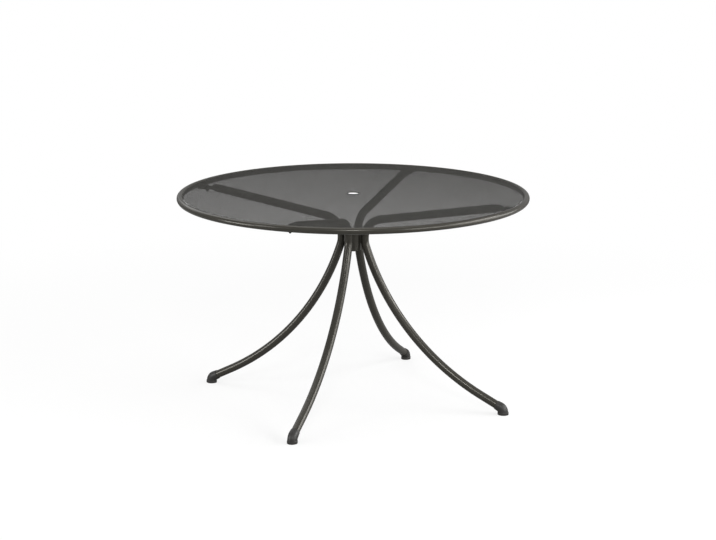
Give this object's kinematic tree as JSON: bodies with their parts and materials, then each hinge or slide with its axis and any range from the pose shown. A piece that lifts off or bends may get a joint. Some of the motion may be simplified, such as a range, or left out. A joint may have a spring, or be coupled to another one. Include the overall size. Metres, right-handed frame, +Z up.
{
  "type": "umbrella table",
  "caption": "Round garden table with an expanded metal top in a tubular ring, a central umbrella hole and splayed bent-tube legs.",
  "frame": {"origin": "on the floor under the middle of the round top", "axes": "+Z up; the four legs lie along +X, +Y, -X and -Y"},
  "size_m": [1.2, 1.2, 0.7292],
  "materials": {
    "powder_coat_steel": "satin dark graphite powder coat with a faint orange peel",
    "powder_coat_mesh": "satin dark graphite powder coat over expanded steel",
    "dark_fastener": "blackened steel",
    "foot_plastic": "moulded dark grey plastic with a fine grain"
  },
  "bodies": {
    "root": {"rim_ring": "powder_coat_steel", "mesh_top": "powder_coat_mesh", "umbrella_eyelet": "powder_coat_steel", "pole_sleeve": "powder_coat_steel", "leg_tube_1": "powder_coat_steel", "leg_tube_2": "powder_coat_steel", "leg_tube_3": "powder_coat_steel", "leg_tube_4": "powder_coat_steel", "rim_tab_1": "powder_coat_steel", "rim_tab_2": "powder_coat_steel", "rim_tab_3": "powder_coat_steel", "rim_tab_4": "powder_coat_steel", "arm_bolt_1": "dark_fastener", "arm_bolt_2": "dark_fastener", "arm_bolt_3": "dark_fastener", "arm_bolt_4": "dark_fastener", "arm_washer_1": "dark_fastener", "arm_washer_2": "dark_fastener", "arm_washer_3": "dark_fastener", "arm_washer_4": "dark_fastener", "arm_nut_1": "dark_fastener", "arm_nut_2": "dark_fastener", "arm_nut_3": "dark_fastener", "arm_nut_4": "dark_fastener", "foot_boot_1": "foot_plastic", "foot_boot_2": "foot_plastic", "foot_boot_3": "foot_plastic", "foot_boot_4": "foot_plastic"}
  },
  "joints": []
}
